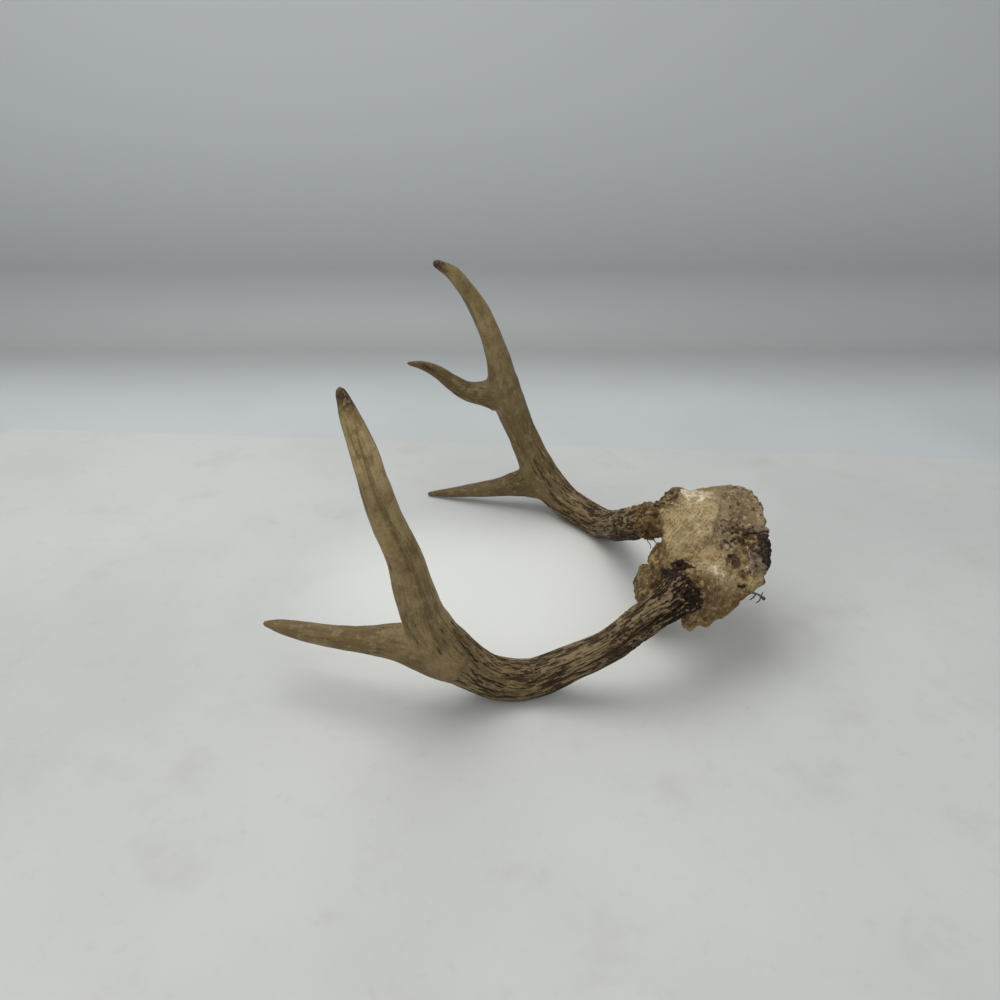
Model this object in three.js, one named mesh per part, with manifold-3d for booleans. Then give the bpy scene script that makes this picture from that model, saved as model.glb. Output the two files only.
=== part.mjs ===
// Pair of whitetail deer antlers on their sawn skull plate, lying as it rests on a table.
// Millimetres. +X runs towards the nose, +Y towards the animal's left, +Z up from the table.
// The origin is under the middle of the whole rack, on the table.
import * as THREE from 'three';
import { mergeVertices } from 'three/addons/utils/BufferGeometryUtils.js';
import Module from 'manifold-3d';

const wasm = await Module();
wasm.setup();

// ---------------------------------------------------------------- driving dimensions

// Gap between neighbouring pieces, where the rack is parted at its forks and burrs
const GAP = 0.3;

// Each branch is a list of stations along its middle: x, y, z and the radius there
const RIGHT_BEAM = [
  [98, -95, 65.5, 12.4],
  [86, -102, 61.5, 11.4],
  [71, -109, 54.3, 10.2],
  [50.5, -114, 39.4, 10.3],
  [27, -114.5, 25.2, 11],
  [5, -112.5, 12.2, 12.4],
  [-12, -114, 12.4, 13.2],
  [-29, -118, 23.4, 13.3],
  [-45, -122, 42, 13.8],
  [-57.5, -128, 67, 12.9],
  [-64, -134, 93.5, 11],
  [-67.5, -139, 119, 10],
  [-72.5, -144, 143, 9.1],
  [-77, -148, 167.5, 7.8],
  [-81.5, -149, 186.5, 6.4],
  [-86, -147, 202, 4.9],
  [-89.5, -145, 211.5, 2.6],
];
const RIGHT_TINE = [
  [-30, -119, 25, 10.5],
  [-47, -122, 37.2, 14.4],
  [-63, -123.5, 46.4, 13.4],
  [-77, -122, 48.6, 10.6],
  [-93, -119, 48.5, 8],
  [-112.5, -113, 45.6, 6.6],
  [-135, -106, 43.6, 6.1],
  [-152, -101, 43.5, 4.3],
  [-162, -98, 43.2, 1.9],
];
const LEFT_BEAM = [
  [90.5, -17, 70.5, 12.4],
  [84.5, -6, 63.5, 11.5],
  [78.5, 32, 39, 12.2],
  [71.8, 78, 12.4, 12.9],
  [58.4, 97, 12.4, 13.2],
  [43.5, 113, 15.2, 13.8],
  [27.5, 126.5, 28, 14.3],
  [13.5, 133, 50, 13.8],
  [3, 135, 74, 12.8],
  [-6, 136, 96, 13.2],
  [-14.5, 135, 119.5, 12],
  [-19.5, 132, 144, 9.9],
  [-25, 129, 165.5, 8.9],
  [-32, 126, 184, 8.3],
  [-42, 123, 198, 7.4],
  [-53, 119, 212, 5.6],
  [-64.5, 115, 221, 2.6],
];
const LEFT_LOWER_TINE = [
  [36, 122, 29, 10],
  [20, 127, 28, 14.2],
  [2, 134, 23.2, 11.6],
  [-16, 138, 17.5, 8.2],
  [-39, 144, 11.4, 6.2],
  [-64, 150, 5.9, 4.1],
  [-83, 155, 2.3, 2],
];
const LEFT_UPPER_TINE = [
  [-4, 135, 101, 9],
  [-15, 135, 106.5, 12],
  [-28, 134, 109.3, 10.6],
  [-43, 132, 112, 8.4],
  [-55.5, 129, 120.7, 7.1],
  [-67.5, 126, 131.2, 5.4],
  [-80, 123, 137.8, 3.7],
  [-91, 120, 140.6, 1.6],
];

// Where a branch is parted from the beam it grows out of: a point, the way it grows, and half the
// width of the block that takes the branch off
const RIGHT_TINE_CUT = { at: [-79, -121.5, 48.8], along: [-1, 0.2, -0.04], half: 24 };
const RIGHT_TIP_CUT = { at: [-63, -133, 88], along: [-0.2, -0.1, 0.97], half: 28 };
const LEFT_LOWER_CUT = { at: [-1, 134.8, 22.5], along: [-0.96, 0.18, -0.2], half: 22 };
const LEFT_UPPER_CUT = { at: [-34, 133.5, 110.4], along: [-1, -0.15, 0.3], half: 17 };
const LEFT_MIDDLE_CUT = { at: [10, 134, 63], along: [-0.46, 0.04, 0.89], half: 36 };
const LEFT_TIP_CUT = { at: [-16.5, 133.5, 128], along: [-0.45, -0.17, 0.88], half: 26 };
const REACH = 180;

// Relief of the antler surface: depth of the long grooves, of the lumps, and of the beading
const GROOVE_DEPTH = 0.75;
const LUMP_DEPTH = 0.5;
const BEAD_DEPTH = 0.9;
const GROOVED_LENGTH = 190;
const BEADED_LENGTH = 42;

// Burr: the ring of knobs round the foot of each antler
const BURR_KNOBS = 11;
const BURR_KNOB_RADIUS = 2.6;
const BURR_ROOM = 5.2;

// Skull plate: the forehead dome between the antlers, in its own frame of nose-ward, left and up
const PLATE = {
  at: new THREE.Vector3(96, -42, 78.5),
  pitch: THREE.MathUtils.degToRad(9),
  yaw: THREE.MathUtils.degToRad(8),
  roll: THREE.MathUtils.degToRad(20),
  length: 64.2,
  rightWidth: 60,
  leftWidth: 60,
  rightCorner: 44,
  leftCorner: 27,
  sideDrop: 28,
  thickness: 7,
};
// Low swellings and hollows of the forehead: middle, half sizes nose-ward and sideways, and height
const FOREHEAD_FORMS = [
  { ahead: 43, left: -15, long: 11, wide: 16, height: -4.5 },
  { ahead: 46, left: 52, long: 14, wide: 13, height: 3.6 },
  { ahead: 16, left: 54, long: 11, wide: 13, height: -3.4 },
  { ahead: 26, left: -36, long: 10, wide: 10, height: 2.4 },
  { ahead: 57, left: -24, long: 6, wide: 14, height: 1.8 },
];
const RIGHT_PEDICLE = [
  [98, -95, 65.5, 11.6],
  [106, -89, 63.5, 12],
  [115, -80, 58, 12.5],
  [125, -70, 58, 9],
];
const LEFT_PEDICLE = [
  [90.5, -17, 70.5, 11.6],
  [97, -21, 74, 12],
  [107, -27, 74, 13],
  [118, -34, 72, 11],
];
// Back of the skull: a narrow wall of bone from the dome down to the table
const BACK_WALL = [
  [110, -44, 80, 5.5],
  [101, -43, 68, 5.5],
  [93, -43, 52, 5],
  [86, -43.5, 36, 5],
  [86, -41, 20, 4.4],
  [92, -37, -4, 3.6],
];
const BACK_WALL_SPREAD = 3.6;
const TEMPLE_KNOB = { ahead: 10, left: 38, radius: 7.5 };

// ---------------------------------------------------------------- solids

// Closed geometry as a manifold solid, and back
function toSolid(geometry) {
  const bare = geometry.clone();
  bare.deleteAttribute('normal');
  bare.deleteAttribute('uv');
  const merged = mergeVertices(bare, 1e-4);
  const vertProperties = new Float32Array(merged.attributes.position.array);
  const triVerts = new Uint32Array(merged.index.array);
  return new wasm.Manifold(new wasm.Mesh({ numProp: 3, vertProperties, triVerts }));
}

function toGeometry(solid) {
  const mesh = solid.getMesh();
  const geometry = new THREE.BufferGeometry();
  geometry.setAttribute('position', new THREE.BufferAttribute(new Float32Array(mesh.vertProperties), 3));
  geometry.setIndex(new THREE.BufferAttribute(new Uint32Array(mesh.triVerts), 1));
  geometry.computeVertexNormals();
  return geometry;
}

// Block that starts on a plane through a point and reaches along a direction
function block({ at, along, half }, shift = 0) {
  const way = new THREE.Vector3(...along).normalize();
  const box = new THREE.BoxGeometry(2 * half, 2 * half, REACH);
  box.translate(0, 0, REACH / 2 - shift);
  const turn = new THREE.Quaternion().setFromUnitVectors(new THREE.Vector3(0, 0, 1), way);
  box.applyQuaternion(turn);
  box.translate(...at);
  return toSolid(box);
}

// Takes a branch off a solid, and returns the branch and what is left
function part(solid, cut) {
  return [solid.intersect(block(cut)), solid.subtract(block(cut, GAP))];
}

// Everything below the table, so that what rests on it has a flat foot
const belowTable = new THREE.BoxGeometry(600, 600, 20);
belowTable.translate(0, 0, -10);
const underTable = toSolid(belowTable);

// ---------------------------------------------------------------- uneven natural surfaces

// Smooth unevenness between about -1 and 1, the same each time
function uneven(x, y, z) {
  const a = Math.sin(1.7 * x + 2.1 * Math.sin(0.9 * y + 0.6 * z));
  const b = Math.sin(1.3 * y + 1.9 * Math.sin(1.1 * z + 0.7 * x));
  return (a + b) / 2;
}

// Height of the antler's surface at an angle round the branch and a distance from its burr
function antlerRelief(angle, distance, radius, seed) {
  const fade = THREE.MathUtils.clamp(1 - distance / GROOVED_LENGTH, 0.16, 1);
  const drift = 0.012 * distance + seed;
  const wide = Math.cos(7 * angle + 2 * Math.sin(drift));
  const narrow = Math.cos(11 * angle - 3 * Math.sin(0.7 * drift));
  const groove = GROOVE_DEPTH * fade * (0.6 * wide + 0.4 * narrow);
  const lump = LUMP_DEPTH * uneven(1.1 * Math.cos(angle) + seed, 1.1 * Math.sin(angle), 0.06 * distance);
  const beaded = THREE.MathUtils.clamp(1 - distance / BEADED_LENGTH, 0, 1);
  const bead = BEAD_DEPTH * beaded * uneven(4 * angle + seed, 0.55 * distance, 2 * angle);
  return (groove + lump + bead) * Math.min(1, radius / 9);
}

// Round branch along its stations, closed at both ends
function branch(stations, { sides, steps, start = 0, seed = 0, relief = antlerRelief, spread = 1 }) {
  const middle = new THREE.CatmullRomCurve3(stations.map((s) => new THREE.Vector3(s[0], s[1], s[2])));
  const radii = stations.map((s) => new THREE.Vector3(s[3], 0, 0));
  const sizes = new THREE.CatmullRomCurve3(radii, false, 'catmullrom', 0.5);
  const positions = [];
  const index = [];
  const across = new THREE.Vector3(0, 1, 0);
  const before = middle.getPoint(0);
  let distance = start;
  for (let i = 0; i <= steps; i += 1) {
    const t = i / steps;
    const centre = middle.getPoint(t);
    const way = middle.getTangent(t);
    const radius = sizes.getPoint(t).x;
    distance += centre.distanceTo(before);
    before.copy(centre);
    across.addScaledVector(way, -across.dot(way)).normalize();
    const up = new THREE.Vector3().crossVectors(way, across);
    for (let j = 0; j < sides; j += 1) {
      const angle = (2 * Math.PI * j) / sides;
      const reach = radius + relief(angle, distance, radius, seed);
      const point = centre.clone();
      point.addScaledVector(across, spread * reach * Math.cos(angle));
      point.addScaledVector(up, reach * Math.sin(angle));
      positions.push(point.x, point.y, point.z);
    }
  }
  for (let i = 0; i < steps; i += 1) {
    for (let j = 0; j < sides; j += 1) {
      const a = i * sides + j;
      const b = i * sides + ((j + 1) % sides);
      index.push(a, b, a + sides, b, b + sides, a + sides);
    }
  }
  const first = middle.getPoint(0);
  const last = middle.getPoint(1).addScaledVector(middle.getTangent(1), 0.7 * stations.at(-1)[3]);
  const firstIndex = positions.length / 3;
  positions.push(first.x, first.y, first.z, last.x, last.y, last.z);
  for (let j = 0; j < sides; j += 1) {
    const next = (j + 1) % sides;
    index.push(firstIndex, next, j);
    index.push(firstIndex + 1, steps * sides + j, steps * sides + next);
  }
  const geometry = new THREE.BufferGeometry();
  geometry.setAttribute('position', new THREE.BufferAttribute(new Float32Array(positions), 3));
  geometry.setIndex(index);
  return toSolid(geometry);
}

// Ring of knobs round the foot of an antler
function burr(stations, seed) {
  const foot = new THREE.Vector3(...stations[0].slice(0, 3));
  const next = new THREE.Vector3(...stations[1].slice(0, 3));
  const way = next.clone().sub(foot).normalize();
  const across = new THREE.Vector3(0, 1, 0).addScaledVector(way, -way.y).normalize();
  const up = new THREE.Vector3().crossVectors(way, across);
  const knobs = [];
  for (let i = 0; i < BURR_KNOBS; i += 1) {
    const angle = (2 * Math.PI * (i + 0.3 * Math.sin(5 * i + seed))) / BURR_KNOBS;
    const size = BURR_KNOB_RADIUS * (1 + 0.25 * Math.sin(3.7 * i + seed));
    const knob = new THREE.IcosahedronGeometry(size, 1);
    const reach = stations[0][3] - 0.1 * BURR_KNOB_RADIUS;
    const centre = foot.clone().addScaledVector(way, 2.6 + 0.8 * Math.sin(2.3 * i + seed));
    centre.addScaledVector(across, reach * Math.cos(angle)).addScaledVector(up, reach * Math.sin(angle));
    knob.translate(centre.x, centre.y, centre.z);
    knobs.push(toSolid(knob));
  }
  return knobs.reduce((all, knob) => all.add(knob));
}

// Everything behind the foot of an antler
function behindBurr(beam, shift = 0) {
  const foot = new THREE.Vector3(...beam[0].slice(0, 3));
  const back = foot.clone().sub(new THREE.Vector3(...beam[1].slice(0, 3)));
  return block({ at: foot.toArray(), along: back.toArray(), half: 30 }, shift);
}

// Whole antler with its burr, flat behind the burr
function antler(beam, tines, seed) {
  let solid = branch(beam, { sides: 18, steps: 38, seed }).add(burr(beam, seed));
  tines.forEach((tine, i) => {
    solid = solid.add(branch(tine, { sides: 12, steps: 14, start: 170, seed: seed + i + 2 }));
  });
  return solid.subtract(behindBurr(beam)).subtract(underTable);
}

// ---------------------------------------------------------------- skull plate

// Point of the forehead, nose-ward and left of the middle of the ridge between the antlers
function forehead(ahead, left) {
  const side = left < 0 ? -left / PLATE.rightWidth : left / PLATE.leftWidth;
  const drop = PLATE.sideDrop * side ** 2.8 + 4 * (ahead / PLATE.length) ** 3;
  let height = 1.1 * uneven(0.09 * ahead, 0.08 * left, 1) - drop;
  for (const form of FOREHEAD_FORMS) {
    const away = ((ahead - form.ahead) / form.long) ** 2 + ((left - form.left) / form.wide) ** 2;
    height += form.height * Math.exp(-away);
  }
  const point = new THREE.Vector3(ahead, left, height);
  point.applyAxisAngle(new THREE.Vector3(1, 0, 0), PLATE.roll);
  point.applyAxisAngle(new THREE.Vector3(0, 1, 0), -PLATE.pitch);
  point.applyAxisAngle(new THREE.Vector3(0, 0, 1), -PLATE.yaw);
  return point.add(PLATE.at);
}

// Ragged front and back limits of the dome, as distances ahead of the ridge
function frontLimit(left) {
  const side = left < 0 ? -left / PLATE.rightWidth : left / PLATE.leftWidth;
  const corner = left < 0 ? PLATE.rightCorner : PLATE.leftCorner;
  return PLATE.length - corner * side ** 3.7 + 1.6 * uneven(0.5 * left, 2, 0.3 * left);
}

function backLimit(left) {
  return -3 + 7 * (left / PLATE.rightWidth) ** 2 + 1.5 * uneven(0.45 * left, 5, 1);
}

// Dome of bone with an outer and an inner surface, joined round the rim
function dome() {
  const columns = 24;
  const rows = 10;
  const positions = [];
  const index = [];
  const ring = columns + 1;
  for (const inner of [0, 1]) {
    for (let i = 0; i <= rows; i += 1) {
      for (let j = 0; j <= columns; j += 1) {
        const left = THREE.MathUtils.lerp(-PLATE.rightWidth, PLATE.leftWidth, j / columns);
        const ahead = THREE.MathUtils.lerp(backLimit(left), frontLimit(left), i / rows);
        const point = forehead(ahead, left);
        const nose = forehead(ahead + 0.5, left).sub(point);
        const side = forehead(ahead, left + 0.5).sub(point);
        const up = nose.cross(side).normalize();
        point.addScaledVector(up, -inner * PLATE.thickness);
        positions.push(point.x, point.y, point.z);
      }
    }
  }
  const layer = ring * (rows + 1);
  const quad = (a, b, c, d) => index.push(a, b, c, a, c, d);
  for (let i = 0; i < rows; i += 1) {
    for (let j = 0; j < columns; j += 1) {
      const a = i * ring + j;
      quad(a, a + ring, a + ring + 1, a + 1);
      quad(layer + a, layer + a + 1, layer + a + ring + 1, layer + a + ring);
    }
  }
  for (let i = 0; i < rows; i += 1) {
    const a = i * ring;
    const b = a + columns;
    quad(a, layer + a, layer + a + ring, a + ring);
    quad(b, b + ring, layer + b + ring, layer + b);
  }
  for (let j = 0; j < columns; j += 1) {
    const a = j;
    const b = rows * ring + j;
    quad(a, a + 1, layer + a + 1, layer + a);
    quad(b, layer + b, layer + b + 1, b + 1);
  }
  const geometry = new THREE.BufferGeometry();
  geometry.setAttribute('position', new THREE.BufferAttribute(new Float32Array(positions), 3));
  geometry.setIndex(index);
  return toSolid(geometry);
}

const boneRelief = (angle, distance, radius, seed) =>
  0.6 * uneven(2 * Math.cos(angle), 2 * Math.sin(angle) + seed, 0.12 * distance);

// Space kept free round the foot of an antler, so that the plate meets the burr face to face
function burrRoom(beam) {
  const wider = beam.slice(0, 4).map(([x, y, z, r]) => [x, y, z, r + BURR_ROOM]);
  const foot = new THREE.Vector3(...beam[0].slice(0, 3));
  const back = foot.clone().sub(new THREE.Vector3(...beam[1].slice(0, 3)));
  const start = foot.clone().add(back);
  wider.unshift([start.x, start.y, start.z, beam[0][3] + BURR_ROOM]);
  const room = branch(wider, { sides: 16, steps: 6, relief: () => 0 });
  return room.subtract(behindBurr(beam, -GAP));
}

function skullPlate() {
  const knob = new THREE.IcosahedronGeometry(TEMPLE_KNOB.radius, 1);
  const knobCentre = forehead(TEMPLE_KNOB.ahead, TEMPLE_KNOB.left);
  knob.translate(knobCentre.x, knobCentre.y, knobCentre.z - 0.4 * TEMPLE_KNOB.radius);
  let solid = dome();
  solid = solid.add(branch(RIGHT_PEDICLE, { sides: 14, steps: 6, relief: boneRelief, seed: 1 }));
  solid = solid.add(branch(LEFT_PEDICLE, { sides: 14, steps: 6, relief: boneRelief, seed: 4 }));
  solid = solid.add(
    branch(BACK_WALL, { sides: 14, steps: 12, relief: boneRelief, seed: 2, spread: BACK_WALL_SPREAD }),
  );
  solid = solid.add(toSolid(knob));
  return solid.subtract(burrRoom(RIGHT_BEAM)).subtract(burrRoom(LEFT_BEAM)).subtract(underTable);
}

// ---------------------------------------------------------------- the rack

const beamHorn = new THREE.MeshStandardMaterial({ color: 0x84735a, roughness: 0.72, metalness: 0 });
const tineHorn = new THREE.MeshStandardMaterial({ color: 0x9a8a6c, roughness: 0.6, metalness: 0 });
const bone = new THREE.MeshStandardMaterial({ color: 0xb19c74, roughness: 0.85, metalness: 0 });

const rack = new THREE.Group();

function addPiece(name, solid, material) {
  const mesh = new THREE.Mesh(toGeometry(solid), material);
  mesh.name = name;
  rack.add(mesh);
}

const rightAntler = antler(RIGHT_BEAM, [RIGHT_TINE], 0.4);
const [rightTine, rightWithoutTine] = part(rightAntler, RIGHT_TINE_CUT);
const [rightTip, rightBeam] = part(rightWithoutTine, RIGHT_TIP_CUT);

const leftAntler = antler(LEFT_BEAM, [LEFT_LOWER_TINE, LEFT_UPPER_TINE], 1.9);
const [leftLowerTine, leftWithoutLower] = part(leftAntler, LEFT_LOWER_CUT);
const [leftUpperTine, leftWithoutTines] = part(leftWithoutLower, LEFT_UPPER_CUT);
const [leftTip, leftWithoutTip] = part(leftWithoutTines, LEFT_TIP_CUT);
const [leftMiddle, leftBeam] = part(leftWithoutTip, LEFT_MIDDLE_CUT);

addPiece('skull_plate', skullPlate(), bone);
addPiece('right_beam', rightBeam, beamHorn);
addPiece('right_beam_tip', rightTip, tineHorn);
addPiece('right_tine', rightTine, tineHorn);
addPiece('left_beam', leftBeam, beamHorn);
addPiece('left_beam_middle', leftMiddle, beamHorn);
addPiece('left_beam_tip', leftTip, tineHorn);
addPiece('left_lower_tine', leftLowerTine, tineHorn);
addPiece('left_upper_tine', leftUpperTine, tineHorn);

export default rack;
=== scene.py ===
# Pair of deer antlers on their sawn skull plate: finished surfaces, floor, light and camera.
import math
from itertools import product
from types import SimpleNamespace
import bpy
import numpy as np
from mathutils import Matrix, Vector


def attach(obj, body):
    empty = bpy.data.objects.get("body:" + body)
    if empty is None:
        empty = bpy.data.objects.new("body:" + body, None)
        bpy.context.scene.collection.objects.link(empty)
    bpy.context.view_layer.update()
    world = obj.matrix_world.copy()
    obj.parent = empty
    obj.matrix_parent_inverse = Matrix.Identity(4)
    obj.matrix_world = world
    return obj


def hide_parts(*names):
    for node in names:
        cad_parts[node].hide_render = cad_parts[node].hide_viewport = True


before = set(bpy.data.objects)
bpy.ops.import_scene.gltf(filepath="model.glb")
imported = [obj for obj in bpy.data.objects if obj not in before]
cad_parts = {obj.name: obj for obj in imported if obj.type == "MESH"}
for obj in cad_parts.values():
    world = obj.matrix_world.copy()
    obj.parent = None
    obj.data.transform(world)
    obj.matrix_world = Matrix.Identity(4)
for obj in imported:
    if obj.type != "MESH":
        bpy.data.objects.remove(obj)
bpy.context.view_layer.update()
MM = 0.001

# -------------------- dimensions, in millimetres

# Stations along the middle of each branch: x, y, z and the radius there
RIGHT_BEAM = [
    [98, -94.2, 67, 13.2], [86, -102, 61.8, 11.8], [71, -109, 54.6, 10.6], [50.5, -114, 39.4, 10.3],
    [27, -114.5, 25.2, 11], [5, -112.5, 12.2, 12.4], [-12, -114, 12.4, 13.2], [-29.6, -118, 22.4, 13.3],
    [-45.6, -122, 41.3, 14.2], [-57.5, -128, 67, 12.9], [-63.3, -134, 93.8, 11.2],
    [-66.9, -139, 119.2, 9.7], [-73, -144, 143, 8.6], [-77.7, -148, 167.2, 7.6],
    [-81.5, -149, 186.5, 6.5], [-86.4, -147, 202, 4.7], [-89.5, -145, 211.5, 2.6],
]
RIGHT_TINE = [
    [-36, -120, 30, 6], [-49, -122, 38, 13.6], [-63, -123.5, 45.8, 13.6], [-77, -122, 47.9, 11.1],
    [-93, -119, 47.2, 8.6], [-112.5, -113, 44.4, 7.1], [-135, -106, 42.9, 6.1], [-152, -101, 43.5, 4.3],
    [-162, -98, 43.2, 1.9],
]
LEFT_BEAM = [
    [90.5, -17, 70.5, 12.2], [84.5, -6, 63.5, 11.5], [78.5, 32, 39, 12.2], [76, 57, 24, 12.6],
    [70.5, 78, 14.2, 13], [58.4, 97, 12.6, 13.1], [43.5, 113, 15.2, 13.8], [27.5, 126.5, 28, 14.3],
    [13.5, 133, 50, 13.8], [3, 135, 74, 12.8], [-6, 136, 96, 13.2], [-12.8, 135, 120, 12.1],
    [-18.4, 132, 144.2, 9.8], [-25.2, 129, 165.5, 8.5], [-33.1, 126, 183.4, 7.7],
    [-41.6, 123, 198.4, 6.5], [-52.3, 119, 212.5, 5.6], [-64.5, 115, 220.4, 3.2],
]
LEFT_LOWER_TINE = [
    [29, 125, 30, 5], [18, 128, 28.5, 12.8], [2, 134, 23.6, 11.9], [-16, 138, 18.2, 8.8],
    [-39, 144, 12, 6.6], [-64, 150, 6.2, 4.3], [-83, 155, 2.3, 2],
]
LEFT_UPPER_TINE = [
    [-9, 135, 102, 5], [-17, 135, 107, 11.6], [-28, 134, 109.3, 10.6], [-43, 132, 112, 8.4],
    [-55.5, 129, 120.7, 7.1], [-67.5, 126, 131.2, 5.4], [-80, 123, 137.8, 3.7], [-91, 120, 140.6, 1.6],
]
RIGHT_PEDICLE = [
    [93, -98.5, 66.5, 8.5], [98, -95, 65.5, 11.4], [106, -89, 63.5, 11.8], [115, -80, 57, 11.5],
    [125, -70, 56, 8],
]
LEFT_PEDICLE = [
    [87, -12, 67, 7.5], [90.5, -17, 70.5, 10.6], [97, -21, 74, 11.8], [107, -27, 72, 11], [117, -34, 68, 6],
]
BACK_WALL = [
    [112, -46, 78, 5], [102, -47, 66, 4.6], [92, -48, 56, 4.6], [90.5, -48, 47, 4.0],
    [83.5, -47, 36.5, 5.0], [85.5, -43, 20, 4.4], [92, -38, 0, 3.6],
]
# The back wall is this many times as wide as it is thick
BACK_WALL_SPREAD = 3.1

# Forehead dome, in its own frame of nose-ward, left and up
PLATE_AT = np.array([96.0, -42.0, 78.5])
PLATE_PITCH = math.radians(9)
PLATE_YAW = math.radians(8)
PLATE_ROLL = math.radians(20)
PLATE_LENGTH = 63
PLATE_HALF_WIDTH = 60
RIGHT_CORNER = 44
LEFT_CORNER = 29
SIDE_DROP = 28
FRONT_DROP = 4
PLATE_THICKNESS = 6.4
# The cut edge below the near burr lies this far right of the ridge, and draws in ahead of a place
RIGHT_CUT = 58.2
RIGHT_CUT_STRAIGHT = 16
RIGHT_CUT_SLOPE = 0.33
# Low swellings and hollows of the forehead: ahead, left, half sizes nose-ward and sideways, height
FOREHEAD_FORMS = [
    (43, -15, 11, 16, -4.5), (46, 52, 14, 13, 3.6), (16, 54, 11, 13, -3.4), (26, -36, 10, 10, 2.4),
    (57, -24, 6, 14, 1.8),
]
# The temple knob beside the left pedicle: how far ahead and left, its radius, the depth of its centre
TEMPLE_KNOB = (10, 38)
TEMPLE_KNOB_RADIUS = 7.5
TEMPLE_KNOB_SINK = 3

# Fineness of the skins, set so that each stays below 200,000 triangles
ANTLER_VOXEL = 0.77
SKULL_VOXEL = 0.63


# -------------------- noise

# Brings noise to a range of about -1 to 1
NOISE_GAIN = 1.6
# Large odd numbers that scatter neighbouring cells
SCATTER = np.array([374761393, 668265263, 2147483629])
SCATTER_SEED = 1274126177
LOW_BITS = 0xFFFFFFFF


def lattice_gradients(seed):
    rng = np.random.default_rng(seed)
    g = rng.normal(size=(256, 3))
    return g / np.linalg.norm(g, axis=1, keepdims=True)


def cell_hash(cell, seed):
    """A scattered whole number for each cell of a grid."""
    h = (cell @ SCATTER + seed * SCATTER_SEED) & LOW_BITS
    h = ((h ^ (h >> 13)) * SCATTER_SEED) & LOW_BITS
    return h ^ (h >> 16)


def noise(p, seed):
    """Smooth unevenness, about -1 to 1, at points in units of its grain."""
    gradients = lattice_gradients(seed + 11)
    base = np.floor(p).astype(np.int64)
    f = p - base
    w = f * f * f * (f * (f * 6 - 15) + 10)
    total = np.zeros(len(p))
    for corner in product((0, 1), repeat=3):
        h = cell_hash(base + corner, seed) & 255
        dot = (gradients[h] * (f - corner)).sum(1)
        share = np.where(corner, w, 1 - w)
        total += dot * share[:, 0] * share[:, 1] * share[:, 2]
    return total * NOISE_GAIN


def layered(p, octaves, seed):
    """Noise with finer and weaker noise over it."""
    total = np.zeros(len(p))
    size = 1.0
    for i in range(octaves):
        total += size * noise(p / size + 7.3 * i, seed + i)
        size *= 0.5
    return total


def cells(p, seed):
    """Points lie scattered, one to a unit cell: how far the nearest two are, and the nearest's number."""
    base = np.floor(p).astype(np.int64)
    best = np.full(len(p), np.inf)
    second = np.full(len(p), np.inf)
    number = np.zeros(len(p))
    for offset in product((-1, 0, 1), repeat=3):
        cell = base + offset
        h = cell_hash(cell, seed)
        jitter = np.stack([h & 255, (h >> 8) & 255, (h >> 16) & 255], 1) / 255.0
        d = np.linalg.norm(cell + jitter - p, axis=1)
        near = d < best
        second = np.where(near, best, np.minimum(second, d))
        number = np.where(near, (h >> 4) & 255, number)
        best = np.where(near, d, best)
    return best, second, number / 255.0


def smooth(low, high, x):
    """0 where x is at low, rising smoothly to 1 where it is at high."""
    t = np.clip((x - low) / (high - low), 0, 1)
    return t * t * (3 - 2 * t)


# -------------------- branches

def root_gap(a, b):
    return max(np.linalg.norm((b - a)[:3]) ** 0.5, 1e-4)


def spline(points, per):
    """Centripetal curve through the points, with the same number of steps in each stretch."""
    points = np.array(points, float)
    padded = np.vstack([2 * points[0] - points[1], points, 2 * points[-1] - points[-2]])
    out = []
    for i in range(1, len(padded) - 2):
        p0, p1, p2, p3 = padded[i - 1:i + 3]
        d0, d1, d2 = root_gap(p0, p1), root_gap(p1, p2), root_gap(p2, p3)
        m1 = ((p1 - p0) / d0 - (p2 - p0) / (d0 + d1) + (p2 - p1) / d1) * d1
        m2 = ((p2 - p1) / d1 - (p3 - p1) / (d1 + d2) + (p3 - p2) / d2) * d1
        t = np.linspace(0, 1, per, endpoint=False)[:, None]
        out.append((2 * t**3 - 3 * t**2 + 1) * p1 + (t**3 - 2 * t**2 + t) * m1
                   + (3 * t**2 - 2 * t**3) * p2 + (t**3 - t**2) * m2)
    out.append(points[-1:])
    return np.vstack(out)


def bands(rings, sides):
    """Faces between rings of points that follow each other, each ring closed on itself."""
    faces = []
    for i in range(rings - 1):
        for j in range(sides):
            k = (j + 1) % sides
            faces.append((i * sides + j, i * sides + k, (i + 1) * sides + k, (i + 1) * sides + j))
    return faces


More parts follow.
